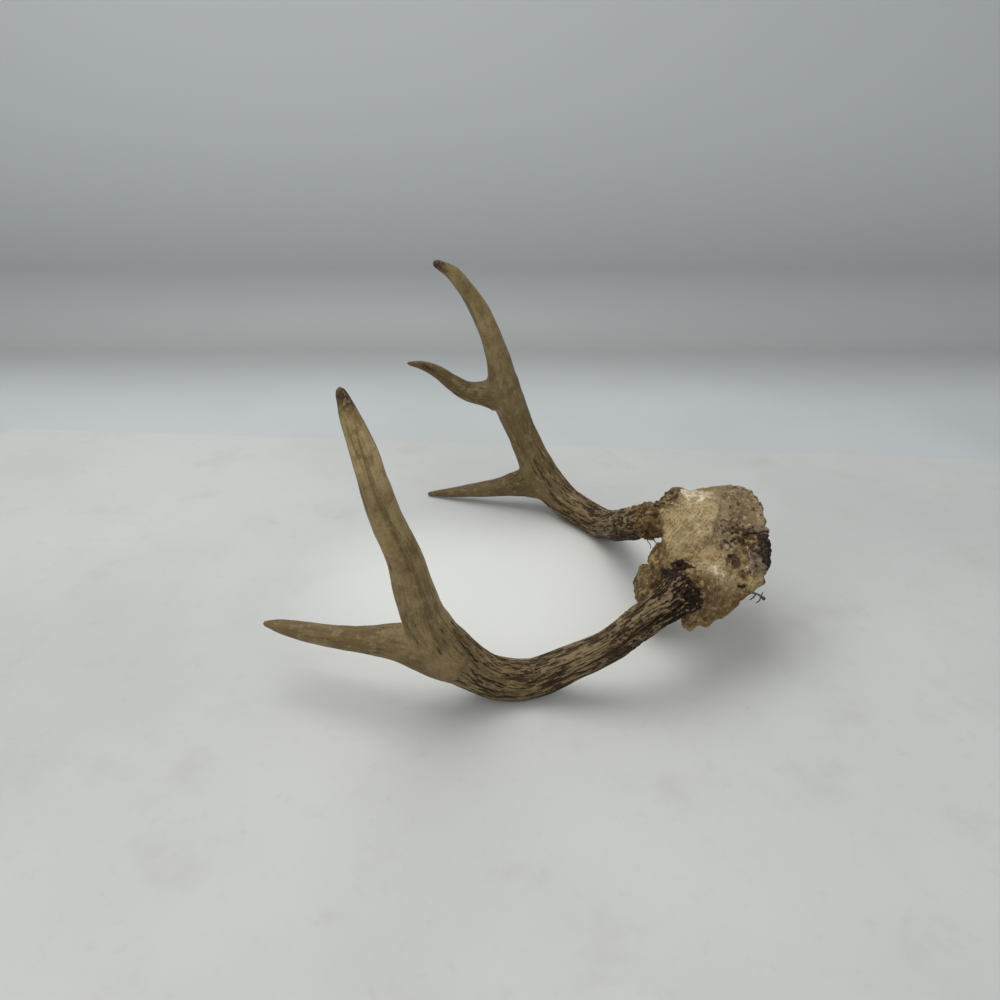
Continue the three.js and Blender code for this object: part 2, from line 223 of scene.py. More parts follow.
class Branch:
    """Round branch along its stations, and where a point is along and round it."""

    def __init__(self, stations, start=0.0, per=18, spread=1.0):
        path = spline(stations, per)
        self.centre, self.radius = path[:, :3], path[:, 3]
        self.way = np.gradient(self.centre, axis=0)
        self.step = np.linalg.norm(self.way, axis=1)
        self.way /= self.step[:, None]
        steps = np.linalg.norm(np.diff(self.centre, axis=0), axis=1)
        self.along = start + np.concatenate([[0], np.cumsum(steps)])
        self.slope = np.gradient(self.radius) / self.step
        self.spread = spread
        across = np.array([0.0, 1.0, 0.0])
        rows = []
        for w in self.way:
            across = across - w * across.dot(w)
            across /= np.linalg.norm(across)
            rows.append(across)
        self.across = np.array(rows)
        self.up = np.cross(self.way, self.across)

    def tube(self, sides=28):
        angle = np.linspace(0, 2 * math.pi, sides, endpoint=False)
        ring = (self.spread * np.cos(angle)[None, :, None] * self.across[:, None]
                + np.sin(angle)[None, :, None] * self.up[:, None])
        points = (self.centre[:, None] + self.radius[:, None, None] * ring).reshape(-1, 3)
        count = len(self.centre)
        end = self.centre[-1] + self.way[-1] * self.radius[-1] * 0.9
        points = np.vstack([points, self.centre[0], end])
        faces = bands(count, sides)
        first, last = count * sides, count * sides + 1
        for j in range(sides):
            k = (j + 1) % sides
            faces.append((first, k, j))
            faces.append((last, (count - 1) * sides + j, (count - 1) * sides + k))
        return points, faces

    def locate(self, p):
        """Height over the round surface, distance along, cosine and sine round, radius, and the way out."""
        found = []
        for part in np.array_split(p, max(1, len(p) // 4000)):
            gap = ((part[:, None] - self.centre[None]) ** 2).sum(2)
            i = gap.argmin(1)
            rel = part - self.centre[i]
            t = (rel * self.way[i]).sum(1)
            low = np.where(i == 0, 0.0, -self.step[i])
            high = np.where(i == len(self.centre) - 1, 0.0, self.step[i])
            t = np.clip(t, low, high)
            rel = rel - t[:, None] * self.way[i]
            d = np.linalg.norm(rel, axis=1) + 1e-9
            radius = self.radius[i] + t * self.slope[i]
            c = (rel * self.across[i]).sum(1) / d
            s = (rel * self.up[i]).sum(1) / d
            found.append(np.column_stack([d - radius, self.along[i] + t, c, s, radius, rel / d[:, None]]))
        return np.vstack(found)


def add_object(name, data):
    made = bpy.data.objects.new(name, data)
    bpy.context.scene.collection.objects.link(made)
    return made


def make_mesh(name, points, faces):
    """Object with a mesh whose points are given in millimetres."""
    mesh = bpy.data.meshes.new(name)
    mesh.from_pydata((np.asarray(points) * MM).tolist(), [], faces)
    mesh.update()
    return add_object(name, mesh)


def shade_smooth(piece):
    faces = piece.data.polygons
    faces.foreach_set("use_smooth", [True] * len(faces))


def joined(parts):
    points, faces, first = [], [], 0
    for p, f in parts:
        points.append(p)
        faces += [tuple(i + first for i in face) for face in f]
        first += len(p)
    return np.vstack(points), faces


def fuse(piece, voxel):
    """One even skin over all the closed forms in the piece."""
    remesh = piece.modifiers.new("skin", "REMESH")
    remesh.mode = "VOXEL"
    remesh.voxel_size = voxel * MM
    remesh.use_smooth_shade = True
    made = bpy.data.meshes.new_from_object(piece.evaluated_get(bpy.context.evaluated_depsgraph_get()))
    piece.modifiers.clear()
    old = piece.data
    piece.data = made
    bpy.data.meshes.remove(old)
    made.name = piece.name


def read_points(piece, kind):
    """Each point's place in metres or its normal, for the kinds "co" and "normal"."""
    values = np.zeros(len(piece.data.vertices) * 3, np.float32)
    piece.data.vertices.foreach_get(kind, values)
    return values.reshape(-1, 3).astype(float)


def set_points(piece, p):
    piece.data.vertices.foreach_set("co", (p * MM).astype(np.float32).ravel())
    piece.data.update()


def normals_at(piece, p):
    """The piece's normals once its points are at the given places."""
    set_points(piece, p)
    return read_points(piece, "normal")


def emboss(piece, p, normals, height):
    """Moves the points out by the height of the relief, but never below the table."""
    p = p + normals * height[:, None]
    p[:, 2] = np.maximum(p[:, 2], 0.0)
    set_points(piece, p)
    return p


def set_values(piece, **values):
    """Named values at the piece's points, for its material to read."""
    for name, value in values.items():
        made = piece.data.attributes.new(name, "FLOAT", "POINT")
        made.data.foreach_set("value", np.asarray(value, np.float32))


def relax(piece, p, rounds, amount):
    """Each point moves towards the middle of its neighbours."""
    edges = np.zeros(len(piece.data.edges) * 2, np.int32)
    piece.data.edges.foreach_get("vertices", edges)
    a, b = edges.reshape(-1, 2).T
    count = np.bincount(a, minlength=len(p)) + np.bincount(b, minlength=len(p))
    for _ in range(rounds):
        total = np.zeros_like(p)
        for k in range(3):
            total[:, k] = (np.bincount(a, weights=p[b, k], minlength=len(p))
                           + np.bincount(b, weights=p[a, k], minlength=len(p)))
        p = p + amount * (total / count[:, None] - p)
    return p


# -------------------- antlers

FORK_SOFTNESS = 3.4
# A tine begins with the looks that the beam has this far from its burr
TINE_START = 175

# Grains of the antlers' relief, in mm. The last of two or three is the one along the beam
DRIFT_GRAIN = (12, 12, 24)
DRIFT = 1.3
GROOVE_GRAIN = 2.4
GROOVE_LENGTH = 22
GROOVE_SHORTENING = 13
FINE_GRAIN = 1.35
FINE_LENGTH_SHARE = 0.55
SWELL_GRAIN = (6.0, 55)
PATCH_GRAIN = (9, 9, 30)
BEND_GRAIN = (1.7, 1.7, 2.6)
LUMP_GRAIN = (12, 12, 20)
NET_CELL = (6.6, 15)
PEARL_CELL = (2.9, 3.4)
BEAD_CELL = 4.2

# Heights of the antlers' relief, in mm
SWELL_HEIGHT = 0.30
LUMP_HEIGHT = 0.42
FINE_HEIGHT = 0.10
GROOVE_DEPTH = 0.6
VEIN_HEIGHT = 0.9
PEARL_HEIGHT = 0.8

# The burr swells round this distance along the beam
BURR_AT = 3.0
BURR_LENGTH = 5.0


def union_of(branches, p):
    """Smooth union of branches: height, way out, weight of each, and each one's own coordinates."""
    found = [b.locate(p) for b in branches]
    heights = np.stack([f[:, 0] for f in found])
    low = heights.min(0)
    e = np.exp(-(heights - low) / FORK_SOFTNESS)
    total = e.sum(0)
    height = low - FORK_SOFTNESS * np.log(total)
    weights = e / total
    out = sum(w[:, None] * f[:, 5:8] for w, f in zip(weights, found))
    out /= np.linalg.norm(out, axis=1, keepdims=True) + 1e-9
    return height, out, weights, found


def antler_surface(found, seed, flare, crust, net):
    """Relief of one branch in mm, and what colours it: grooves, grime, veins and flow coordinates."""
    along, c, s, radius = found[:, 1], found[:, 2], found[:, 3], found[:, 4]
    ring = np.stack([radius * c, radius * s], 1)
    flat = np.column_stack([ring, along])
    drift = np.column_stack([
        noise(flat / DRIFT_GRAIN, seed + 50),
        noise(flat / DRIFT_GRAIN + 31.7, seed + 51),
    ])
    warped = ring + DRIFT * drift

    # Long grooves, shorter by the burr and fading towards the tip
    near_burr = 1 - smooth(25, 85, along)
    length = GROOVE_LENGTH - GROOVE_SHORTENING * near_burr
    long = noise(np.column_stack([warped / GROOVE_GRAIN, along / length]), seed)
    fine_length = FINE_LENGTH_SHARE * length
    fine = noise(np.column_stack([warped / FINE_GRAIN + 9.1, along / fine_length]), seed + 1)
    wide = noise(np.column_stack([warped / SWELL_GRAIN[0], along / SWELL_GRAIN[1]]), seed + 2)
    patch = noise(flat / PATCH_GRAIN + 3.3, seed + 3)
    fade = 1 - 0.6 * smooth(150, 250, along) - 0.25 * smooth(250, 330, along)
    groove = smooth(-0.15, 0.6, -(long + 0.6 * fine + 0.3 * wide) + 0.35 * patch) * fade

    # Net of thin ridges over darker ground beyond the burr
    bend = np.column_stack([fine, noise(flat / BEND_GRAIN, seed + 52), noise(flat / 3 + 5, seed + 53)])
    net_cells = np.column_stack([warped / NET_CELL[0], along / NET_CELL[1]]) + 0.36 * bend
    first, second, _ = cells(net_cells, seed + 8)
    netted = (1 - smooth(38, 78, along + 12 * patch)) * net
    veins = (1 - smooth(0.05, 0.16, second - first)) * netted * smooth(-0.6, 0.0, long + patch)
    groove = groove * (1 - 0.9 * veins) + (0.3 * near_burr + netted) * (1 - veins)
    groove = np.clip(groove, 0, 1.6)
    lumps = LUMP_HEIGHT * layered(flat / LUMP_GRAIN, 2, seed + 4)
    height = SWELL_HEIGHT * wide * fade + lumps - GROOVE_DEPTH * groove
    height += VEIN_HEIGHT * veins + FINE_HEIGHT * fine

    # Pearls on the lower beam
    pearl, _, _ = cells(np.column_stack([ring / PEARL_CELL[0], along / PEARL_CELL[1]]), seed + 5)
    pearls = smooth(0.5, 0.12, pearl) * (1 - smooth(8, 46, along)) * smooth(-0.3, 0.4, patch)
    height = height + PEARL_HEIGHT * pearls
    groove = np.clip(groove - 0.5 * pearls, 0, 1)

    # Beaded burr, and the crust over it that leaves the highest beads bare
    foot = np.exp(-((along - BURR_AT) / BURR_LENGTH) ** 2)
    knob, _, size = cells(np.column_stack([ring / BEAD_CELL, along / BEAD_CELL]) + 0.35 * bend, seed + 6)
    beads = smooth(0.75, 0.15, knob) * (0.2 + 0.8 * size) * smooth(-0.7, 0.3, long + patch)
    height = height * (1 - 0.4 * foot) + flare * foot * (0.5 + 2.9 * beads)
    height += flare * 1.2 * beads * (1 - smooth(6, 26, along))
    scale = np.minimum(1.0, 0.25 + radius / 11)
    bare = 0.9 * smooth(0.62, 0.85, beads) + 0.9 * smooth(0.3, 0.7, pearls)
    reach = along + 15 * patch + 14 * long + 6 * fine
    grime = crust * np.clip((1 - smooth(10, 33, reach)) * 1.25 - bare, 0, 1)
    return SimpleNamespace(relief=height * scale, groove=groove, grime=grime, veins=veins, flow=flat)


# The side of the beams that faces down and towards the nose, away from the light, gets extra dark streaks
# and grime: painted shade
SHADED_SIDE = np.array([0.6, 0.0, -0.8])
# Small dark worn spots on the left upper tine, in the row frame
TINE_STAINS = np.array([[-71, 120.4, 135], [-74.6, 120, 136.8], [-78, 119.8, 138.3]])
# Keeps the streaks of one branch apart from the next one's
FLOW_APART = 400


def antler_skin(name, branches):
    """One smooth skin over the beam and its tines, and its points."""
    piece = make_mesh(name, *joined([b.tube() for b in branches]))
    fuse(piece, ANTLER_VOXEL)
    p = read_points(piece, "co") / MM
    for _ in range(4):
        height, out, _, found = union_of(branches, p)
        at_end = found[0][:, 1] <= 0.0
        p = p - np.where(at_end, 0.0, height)[:, None] * out
    return piece, relax(piece, p, 12, 0.4)


def streak_and_shade_density(along, p, normals, facing_up, seed, net):
    """How many dark streaks a place on an antler has, with extra ones on the side away from the light as
    painted shade.
    """
    lower = 1 - smooth(125, 225, along)
    middle = smooth(20, 45, along) * (1 - smooth(90, 130, along))
    sided = 0.05 + 0.31 * (1 - smooth(60, 120, along))
    dense = 0.02 + 0.36 * lower - 0.30 * smooth(215, 300, along) + 0.18 * middle
    dense = dense + 0.42 * net**2 * (1 - smooth(45, 85, along)) * facing_up
    # Extra dark streaks on the side away from the light: painted shade
    dense = dense + sided * (normals @ SHADED_SIDE) * (1 - 0.7 * smooth(230, 300, along))
    return dense + 0.16 * noise(p / 26, seed + 90)


def build_antler(name, stations, tines, nodes, seed, flare, crust, net):
    """Antler with its relief. flare is for the burr's beads, crust and net are shares from 0 to 1."""
    branches = [Branch(stations)] + [Branch(t, start=TINE_START) for t in tines]
    piece, p = antler_skin(name, branches)
    _, _, weights, found = union_of(branches, p)
    surfaces = [antler_surface(f, seed + 10 * i, flare, crust, net) for i, f in enumerate(found)]
    relief = sum(w * surface.relief for w, surface in zip(weights, surfaces))
    groove = sum(w * surface.groove for w, surface in zip(weights, surfaces))
    grime = weights[0] * surfaces[0].grime
    veins = weights[0] * surfaces[0].veins
    flow = np.zeros((len(p), 3))
    for i, (w, surface) in enumerate(zip(weights, surfaces)):
        flow = np.where((w >= 0.5)[:, None], surface.flow + FLOW_APART * i, flow)
    along = (weights * np.stack([f[:, 1] for f in found])).sum(0)
    radius = (weights * np.stack([f[:, 4] for f in found])).sum(0)
    normals = normals_at(piece, p)
    p = emboss(piece, p, normals, relief)

    facing_up = smooth(-0.7, 0.1, normals[:, 2])
    shaded = smooth(-0.8, 0.3, normals @ SHADED_SIDE)
    end = branches[0].along[-1]
    worn = weights[0] * smooth(end - 12, end - 3, along + 3 * noise(p / 2.5, seed + 92))
    for stain in TINE_STAINS:
        worn = worn + 1.3 * np.exp(-((p - stain) ** 2).sum(1) / 4.5)
    set_values(
        piece,
        dense=streak_and_shade_density(along, p, normals, facing_up, seed, net),
        groove=groove,
        along=along,
        # Real crust, made weaker on the side towards the light: painted shade
        grime=grime * np.maximum(0.62 + 0.38 * shaded, 1 - smooth(5, 12, along)),
        worn=np.minimum(worn, 1),
        tine=1 - weights[0],
        veins=veins * facing_up * smooth(-0.9, 0.2, noise(p / 6, seed + 93)),
        rust=(1 - crust) * (1 - smooth(2, 11, along + 6 * noise(p / 5, seed + 91))),
        pure=np.abs(2 * weights.max(0) - 1),
        tip=1 - smooth(2.5, 7.5, radius),
    )
    made = piece.data.attributes.new("flow", "FLOAT_VECTOR", "POINT")
    made.data.foreach_set("vector", flow.astype(np.float32).ravel())
    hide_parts(*nodes)
    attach(piece, "root")
    return piece


# -------------------- skull plate

# Softness of the joints between the bone's forms and of its sawn edges, in mm
BONE_SOFTNESS = 2.6
EDGE_SOFTNESS = 1.6
# Step over which slopes of the forehead are measured, in mm
SLOPE_STEP = 0.5

# Grains of the bone's relief, in mm
ROUGH_GRAIN = 8
GRIT_GRAIN = 2.4
SCAB_GRAIN = 4.5
PIT_CELL = 2.4
BIG_PIT_CELL = 4.6
CRACK_CELL = 8
STREAK_WIDTH = 1.15
STREAK_LENGTH = 8.5
STREAK_DEPTH = 12

# Ovals on the plate: ahead and left from the ridge, half length, half width, softness of the edge
HOLLOW = (43, -15, 13, 20, 0.5)
FLANGE = (58, -4, 9, 7, 0.5)
FAR_FRONT = (50, 26, 17, 27, 0.5)
BURR_SIDE = (4, -40, 15, 16, 0.5)
FAR_ROOT = (-2, 34, 15, 18, 0.4)
HOOK_SHELF = (53.5, -27, 5.5, 10, 0.5)
HOOK_GROUND = (46, -27, 4, 4, 0.5)
CRUST_PATCH = (5, -31, 8, 7, 0.7)
WHITE_RIDGE = (17, 33, 13, 8, 0.6)
WHITE_TEMPLE = (26, -35, 8, 7, 0.8)
PALE_MIDDLE = (24, 2, 16, 28, 0.8)
OCHRE_NEAR = (23, -20, 12, 14, 0.7)
OCHRE_FAR = (30, 10, 16, 16, 0.8)
FAR_CORNER = (54, 44, 10, 12, 0.6)
# Lines on the plate, as places ahead and left from the ridge
SUTURE = [(67, -4), (60, -3), (56, -5), (52, -4.5), (47, -5.5), (43, -3.5), (38, -2)]
HOOK = [(48, -15.5), (50.5, -20), (50, -26), (47, -31), (43, -34)]
UNDER_HOOK = [(45.6, -18), (47.4, -22), (46.6, -26.5), (44, -30)]
FORAMEN = [(43.6, -41), (42, -41.8), (40.2, -41.3)]


def uneven(x, y, z):
    """Waviness between -1 and 1."""
    a = np.sin(1.7 * x + 2.1 * np.sin(0.9 * y + 0.6 * z))
    b = np.sin(1.3 * y + 1.9 * np.sin(1.1 * z + 0.7 * x))
    return (a + b) / 2


def turn(axis, angle):
    c, s = math.cos(angle), math.sin(angle)
    if axis == "x":
        return np.array([[1, 0, 0], [0, c, -s], [0, s, c]])
    if axis == "y":
        return np.array([[c, 0, s], [0, 1, 0], [-s, 0, c]])
    return np.array([[c, -s, 0], [s, c, 0], [0, 0, 1]])


PLATE_TURN = turn("z", -PLATE_YAW) @ turn("y", -PLATE_PITCH) @ turn("x", PLATE_ROLL)


def forehead_height(ahead, left):
    """Outer surface in the plate's own frame."""
    height = 1.1 * uneven(0.09 * ahead, 0.08 * left, 1)
    height = height - SIDE_DROP * (np.abs(left) / PLATE_HALF_WIDTH) ** 2.8
    height = height - FRONT_DROP * (ahead / PLATE_LENGTH) ** 3
    for at, over, long, wide, tall in FOREHEAD_FORMS:
        height = height + tall * np.exp(-(((ahead - at) / long) ** 2 + ((left - over) / wide) ** 2))
    return height


def forehead(ahead, left):
    """Places on the outer surface in the row frame."""
    return np.stack([ahead, left, forehead_height(ahead, left)], -1) @ PLATE_TURN.T + PLATE_AT


def front_limit(left):
    corner = np.where(left < 0, RIGHT_CORNER, LEFT_CORNER) * (np.abs(left) / PLATE_HALF_WIDTH) ** 3.7
    return PLATE_LENGTH - corner + 1.3 * uneven(0.5 * left, 2, 0.3 * left)


def right_limit(ahead):
    drawn_in = RIGHT_CUT_SLOPE * np.maximum(ahead - RIGHT_CUT_STRAIGHT, 0)
    return drawn_in - RIGHT_CUT + 1.1 * uneven(0.35 * ahead, 3, 1)


def back_limit(left):
    return -3 + 7 * (left / PLATE_HALF_WIDTH) ** 2 + 1.5 * uneven(0.45 * left, 5, 1)


def dome(columns=110, rows=60):
    """Closed shell of the forehead between its four cut edges."""
    left = np.linspace(-PLATE_HALF_WIDTH, PLATE_HALF_WIDTH, columns + 1)[None, :]
    share = np.linspace(0, 1, rows + 1)[:, None]
    ahead = back_limit(left) + share * (front_limit(left) - back_limit(left))
    left = np.where(left < 0, left * right_limit(ahead) / -PLATE_HALF_WIDTH, left)
    outer = forehead(ahead, left)
    nose = forehead(ahead + SLOPE_STEP, left) - outer
    side = forehead(ahead, left + SLOPE_STEP) - outer
    up = np.cross(nose, side)
    up /= np.linalg.norm(up, axis=2, keepdims=True)
    inner = outer - PLATE_THICKNESS * up
    points = np.vstack([outer.reshape(-1, 3), inner.reshape(-1, 3)])
    ring = columns + 1
    layer = ring * (rows + 1)
    faces = []
    for i in range(rows):
        for j in range(columns):
            a = i * ring + j
            faces.append((a, a + ring, a + ring + 1, a + 1))
            faces.append((layer + a, layer + a + 1, layer + a + ring + 1, layer + a + ring))
    for i in range(rows):
        a = i * ring
        b = a + columns
        faces.append((a, layer + a, layer + a + ring, a + ring))
        faces.append((b, b + ring, layer + b + ring, layer + b))
    for j in range(columns):
        b = rows * ring + j
        faces.append((j, j + 1, layer + j + 1, layer + j))
        faces.append((b, layer + b, layer + b + 1, b + 1))
    return points, faces


def ball(centre, radius, rings=12):
    points = []
    for i in range(rings + 1):
        t = math.pi * i / rings
        for j in range(2 * rings):
            a = math.pi * j / rings
            points.append([math.sin(t) * math.cos(a), math.sin(t) * math.sin(a), math.cos(t)])
    return np.array(points) * radius + centre, [face[::-1] for face in bands(rings + 1, 2 * rings)]


def plate_coordinates(p):
    """Nose-ward, left and up from the ridge, for points in the row frame."""
    return (p - PLATE_AT) @ PLATE_TURN


def over_forehead(q):
    """Height of points over the forehead's outer surface."""
    h = forehead_height(q[:, 0], q[:, 1])
    dx = (forehead_height(q[:, 0] + SLOPE_STEP, q[:, 1]) - h) / SLOPE_STEP
    dy = (forehead_height(q[:, 0], q[:, 1] + SLOPE_STEP) - h) / SLOPE_STEP
    return (q[:, 2] - h) / np.sqrt(1 + dx**2 + dy**2)


def softest(a, b, k):
    """Smooth greatest of two heights."""
    e = np.clip(0.5 + 0.5 * (a - b) / k, 0, 1)
    return b + (a - b) * e + k * e * (1 - e)


def spot(q, ahead, left, long, wide, edge):
    """1 inside an oval on the plate, fading to 0 outside it."""
    d = np.hypot((q[:, 0] - ahead) / long, (q[:, 1] - left) / wide)
    return 1 - smooth(1 - edge, 1 + edge, d)


def line(q, points, width):
    """1 on a broken line drawn on the plate, fading to 0 at its width."""
    best = np.full(len(q), np.inf)
    points = np.array(points, float)
    for a, b in zip(points[:-1], points[1:]):
        ab = b - a
        t = np.clip(((q[:, :2] - a) @ ab) / ab.dot(ab), 0, 1)
        best = np.minimum(best, np.linalg.norm(q[:, :2] - a - t[:, None] * ab, axis=1))
    return 1 - smooth(0.25 * width, width, best)


def foot_of(pedicle, p, rim, reach):
    """1 on the pedicle's burr end, fading to 0 at the rim above it and at the reach along it."""
    found = pedicle.locate(p)
    return smooth(rim, 1, found[:, 0]) * smooth(reach, 12, found[:, 1])


def skull_height(p, pedicles, wall, knob):
    """Height of points over the bone's smooth surface."""
    q = plate_coordinates(p)
    shell = np.abs(over_forehead(q) + PLATE_THICKNESS / 2) - PLATE_THICKNESS / 2
    past_edges = (q[:, 0] - front_limit(q[:, 1]), back_limit(q[:, 1]) - q[:, 0],
                  q[:, 1] - PLATE_HALF_WIDTH, right_limit(q[:, 0]) - q[:, 1])
    for past in past_edges:
        shell = softest(shell, past, EDGE_SOFTNESS)
    forms = [shell] + [b.locate(p)[:, 0] for b in pedicles]
    found = wall.locate(p)
    reach = found[:, 0] + found[:, 4]
    side, out = reach * found[:, 2], reach * found[:, 3]
    wide = (BACK_WALL_SPREAD - 1) * found[:, 4] * (1 + 0.2 * noise(found[:, [1, 1, 1]] / 7 + 2, 5))
    forms.append(np.hypot(np.maximum(np.abs(side) - wide, 0), out) - found[:, 4])
    forms.append(np.linalg.norm(p - knob, axis=1) - TEMPLE_KNOB_RADIUS)
    forms = np.stack(forms)
    low = forms.min(0)
    return low - BONE_SOFTNESS * np.log(np.exp(-(forms - low) / BONE_SOFTNESS).sum(0))


def bone_skin(name, pedicles):
    """One smooth skin over the forehead, its pedicles, temple knob and back wall, and its points."""
    wall = Branch(BACK_WALL, spread=BACK_WALL_SPREAD)
    knob = forehead(*np.array(TEMPLE_KNOB, float)) - (0, 0, TEMPLE_KNOB_SINK)
    parts = [dome(), wall.tube(), ball(knob, TEMPLE_KNOB_RADIUS)] + [b.tube() for b in pedicles]
    piece = make_mesh(name, *joined(parts))
    fuse(piece, SKULL_VOXEL)
    p = relax(piece, read_points(piece, "co") / MM, 3, 0.5)
    for _ in range(5):
        normals = normals_at(piece, p)
        step = skull_height(p, pedicles, wall, knob)
        p = p - normals * np.clip(step, -1.5, 1.5)[:, None]
        p = relax(piece, p, 1, 0.3)
    return piece, p


def bone_streaks(q):
    """Fine brush-like grain that runs askew over the forehead."""
    ahead, left, up = q.T
    wander = noise(q / 9 + 4, 60)
    across = (0.74 * ahead - 0.67 * left) / STREAK_WIDTH + 1.3 * wander
    flow = np.column_stack([across, (0.67 * ahead + 0.74 * left) / STREAK_LENGTH, up / STREAK_DEPTH])
    return noise(flow, 61) + 0.6 * noise(flow * (1.9, 1.3, 1) + 5, 62)


def bone_pits(p):
    pit, _, size = cells(p / PIT_CELL, 80)
    small = smooth(0.52, 0.2, pit) * (size > 0.3)
    pit, _, size = cells(p / BIG_PIT_CELL, 81)
    return np.maximum(small, smooth(0.42, 0.15, pit) * (size > 0.45))


def bone_regions(p, pedicles):
    """Unevenness of three grains at the bone's points, and how much they belong to each region."""
    q = plate_coordinates(p)
    ahead, left = q[:, 0], q[:, 1]
    r = SimpleNamespace(q=q, ahead=ahead, left=left)
    r.rough = layered(p / ROUGH_GRAIN, 3, 70)
    r.grit = layered(p / GRIT_GRAIN, 2, 74)
    r.scab = layered(p / SCAB_GRAIN + 13, 3, 77)
    r.top = smooth(-2.5, -0.5, over_forehead(q))
    r.away = 1 - r.top
    r.behind = 1 - smooth(-6, -2, ahead)
    r.calm = 1 - smooth(22, 42, ahead + 0.3 * left)
    r.streak = bone_streaks(q)
    r.hollow = spot(q, *HOLLOW)
    r.edge = smooth(53.5, 58.5, ahead + 3 * r.rough) * smooth(-3, -9, left + 2 * r.scab)
    r.edge *= smooth(-43, -35, left + 3 * r.scab)
    r.flange = smooth(50, 57, ahead + 2 * r.rough) * spot(q, *FLANGE)
    r.far_front = spot(q, *FAR_FRONT)
    r.burr_side = spot(q, *BURR_SIDE)
    r.right_foot = foot_of(pedicles[0], p, rim=5, reach=26)
    r.left_foot = foot_of(pedicles[1], p, rim=4, reach=22)
    r.far_root = np.maximum(spot(q, *FAR_ROOT), r.left_foot)
    r.suture = line(q, SUTURE, width=1.3) * smooth(32, 52, ahead)
    r.hook = line(q, HOOK, width=2.4)
    r.under_hook = line(q, UNDER_HOOK, width=1.8)
    r.shelf = spot(q, *HOOK_SHELF)
    r.foramen = 0.8 * line(q, FORAMEN, width=1.5) * smooth(-0.9, 0.2, r.grit)
    r.crust_patch = spot(q, *CRUST_PATCH)
    flat = np.column_stack([ahead, left, 0 * left])
    first, second, _ = cells(flat / CRACK_CELL + 0.25 * r.rough[:, None], 83)
    r.cracks = (1 - smooth(0.02, 0.14, second - first)) * r.far_front
    r.porous = np.clip(r.hollow * smooth(-0.6, 0.2, r.rough) + r.edge
                       + 0.35 * r.far_front * smooth(-0.3, 0.4, r.scab)
                       + 0.35 * r.away + 0.6 * r.burr_side + 0.6 * r.far_root, 0, 1)
    r.porous *= np.where(r.top > 0.5, 1, 0.6) * (1 - 0.9 * r.behind) * (1 - 0.8 * spot(q, *HOOK_GROUND))
    r.pits = bone_pits(p) * r.porous
    return r


def bone_relief(r):
    """Height of the relief in mm, from the regions."""
    drawn = 0.26 * r.calm * r.streak - 1.7 * r.suture + 2.2 * r.hook - 0.9 * r.under_hook
    drawn += 1.3 * r.crust_patch * (0.6 + r.scab) - 2.6 * r.foramen - 0.5 * r.cracks
    scabbed = 1.1 * r.hollow + 0.9 * (r.far_front + r.burr_side) + 1.2 * r.left_foot + 0.8 * r.right_foot
    height = 0.75 * r.rough + 0.20 * r.grit + 0.28 * r.scab
    height += r.top * drawn - 1.15 * r.pits + scabbed * r.scab + 0.3 * r.edge * r.grit
    return height + r.behind * (1.1 * r.rough + 0.8 * r.scab)


def bone_stains(r):
    """Shares of the colours that lie over the bone's own, from the regions."""
    q, scab = r.q, r.scab
    by_cut = smooth(11, 2, r.left - right_limit(r.ahead))
    clotted = smooth(0.0, 0.6, r.rough)
    white = (
        1.3 * spot(q, *WHITE_RIDGE) * (0.8 + 0.7 * scab) * smooth(8, 12, r.ahead)
        + 0.7 * spot(q, *WHITE_TEMPLE) * (0.7 + 0.9 * scab)
        + 0.8 * r.hook * smooth(-0.5, 0.3, scab)
        + 0.5 * r.hollow * smooth(0.2, 0.8, scab)
        + 0.7 * r.far_front * smooth(0.2, 0.7, scab)
        + 0.25 * spot(q, *PALE_MIDDLE)
    )
    brown = (
        r.hollow * (0.55 + 0.9 * smooth(0.3, -0.5, scab))
        + 0.8 * r.far_front * smooth(0.5, -0.5, scab)
        + r.far_root + 0.35 * r.right_foot + 0.9 * by_cut * r.top
        + 0.8 * r.suture + 0.35 * r.away * (1 - r.behind) + 1.2 * r.behind
    )
    dark = (
        r.edge * (0.95 + 0.8 * scab) + r.suture * smooth(46, 56, r.ahead)
        + r.foramen + 0.25 * r.cracks + 0.3 * r.behind
        + r.burr_side * clotted + 0.4 * r.far_root * clotted
        + 0.4 * spot(q, *FAR_CORNER)
    )
    return {
        "white": np.clip(white, 0, 1),
        "brown": np.clip(brown, 0, 1),
        "dark": np.clip(dark, 0, 1),
        "mauve": np.minimum(r.flange + r.shelf + 0.45 * r.far_front, 1),
        "ochre": spot(q, *OCHRE_NEAR) + 0.5 * spot(q, *OCHRE_FAR) + 0.6 * r.left_foot,
        "crust": r.crust_patch * smooth(-0.8, 0.0, scab),
        "pits": r.pits,
        "porous": r.porous,
        "streak": r.streak * r.calm * r.top,
    }


def build_skull(name, nodes):
    pedicles = [Branch(RIGHT_PEDICLE), Branch(LEFT_PEDICLE)]
    piece, p = bone_skin(name, pedicles)
    regions = bone_regions(p, pedicles)
    emboss(piece, p, normals_at(piece, p), bone_relief(regions))
    set_values(piece, **bone_stains(regions))
    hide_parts(*nodes)
    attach(piece, "root")
    return piece


right_antler = build_antler(
    "right_antler", RIGHT_BEAM, [RIGHT_TINE],
    nodes=["right_beam", "right_beam_tip", "right_tine"],
    seed=3, flare=0.6, crust=1.0, net=0.5)
left_antler = build_antler(
    "left_antler", LEFT_BEAM, [LEFT_LOWER_TINE, LEFT_UPPER_TINE],
    nodes=["left_beam", "left_beam_middle", "left_beam_tip", "left_lower_tine", "left_upper_tine"],
    seed=8, flare=0.4, crust=0.15, net=1.0)
skull = build_skull("skull_plate_bone", nodes=["skull_plate"])


# -------------------- dried sinew

